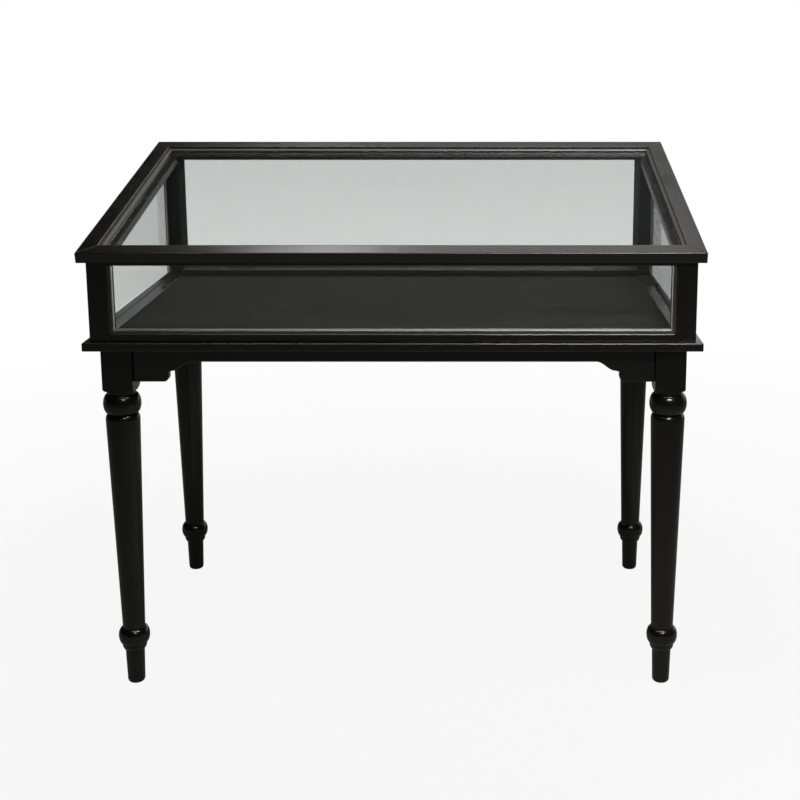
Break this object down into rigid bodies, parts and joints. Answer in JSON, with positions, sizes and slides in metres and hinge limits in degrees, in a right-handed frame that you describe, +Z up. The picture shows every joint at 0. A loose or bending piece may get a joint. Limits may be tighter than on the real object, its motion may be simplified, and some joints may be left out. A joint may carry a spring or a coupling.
{
  "type": "jewelry display case",
  "caption": "Black display table on turned legs: a glazed box with a low front and a high back, under a sloping framed glass lid that flips up on hinges along its back edge.",
  "frame": {"origin": "on the floor under the middle of the overall box", "axes": "+X to the right as seen from the front, +Y towards the hinged back, +Z up"},
  "size_m": [1.2, 0.7232, 1.0559],
  "materials": {
    "black_paint": "satin black paint on wood",
    "bare_wood": "bare sawn wood",
    "clear_glass": "clear polished",
    "charcoal_cloth": "matt charcoal lining",
    "dark_bronze": "dark bronze",
    "zinc": "zinc plated"
  },
  "bodies": {
    "table_and_case": {"apron_back": "black_paint", "apron_front": "black_paint", "apron_left": "black_paint", "apron_right": "black_paint", "base_board": "black_paint", "bottom_rail_back": "black_paint", "bottom_rail_front": "black_paint", "bottom_rail_left": "black_paint", "bottom_rail_right": "black_paint", "case_screw_back_left": "zinc", "case_screw_back_right": "zinc", "case_screw_front_left": "zinc", "case_screw_front_right": "zinc", "corner_brace_back_left": "bare_wood", "corner_brace_back_right": "bare_wood", "corner_brace_front_left": "bare_wood", "corner_brace_front_right": "bare_wood", "display_deck": "charcoal_cloth", "hinge_case_leaf_left": "dark_bronze", "hinge_case_leaf_right": "dark_bronze", "hinge_case_screw_left_1": "dark_bronze", "hinge_case_screw_left_2": "dark_bronze", "hinge_case_screw_right_1": "dark_bronze", "hinge_case_screw_right_2": "dark_bronze", "hinge_pin_left": "dark_bronze", "hinge_pin_right": "dark_bronze", "leg_back_left": "black_paint", "leg_back_right": "black_paint", "leg_front_left": "black_paint", "leg_front_right": "black_paint", "pane_back": "clear_glass", "pane_beads_back": "black_paint", "pane_beads_front": "black_paint", "pane_beads_left": "black_paint", "pane_beads_right": "black_paint", "pane_front": "clear_glass", "pane_left": "clear_glass", "pane_right": "clear_glass", "post_back_left": "black_paint", "post_back_right": "black_paint", "post_front_left": "black_paint", "post_front_right": "black_paint", "top_rail_back": "black_paint", "top_rail_front": "black_paint", "top_rail_left": "black_paint", "top_rail_right": "black_paint"},
    "lid": {"hinge_lid_leaf_left": "dark_bronze", "hinge_lid_leaf_right": "dark_bronze", "hinge_lid_screw_left_1": "dark_bronze", "hinge_lid_screw_left_2": "dark_bronze", "hinge_lid_screw_right_1": "dark_bronze", "hinge_lid_screw_right_2": "dark_bronze", "lid_beads": "black_paint", "lid_glass": "clear_glass", "lid_rail_back": "black_paint", "lid_rail_front": "black_paint", "lid_rail_left": "black_paint", "lid_rail_right": "black_paint"}
  },
  "joints": [
    {"name": "lid_hinge", "type": "hinge", "parent": "table_and_case", "child": "lid", "pos_m": [0, 0.347, 1.03224], "axis": [-1, 0, 0], "range_deg": [0, 108]}
  ]
}
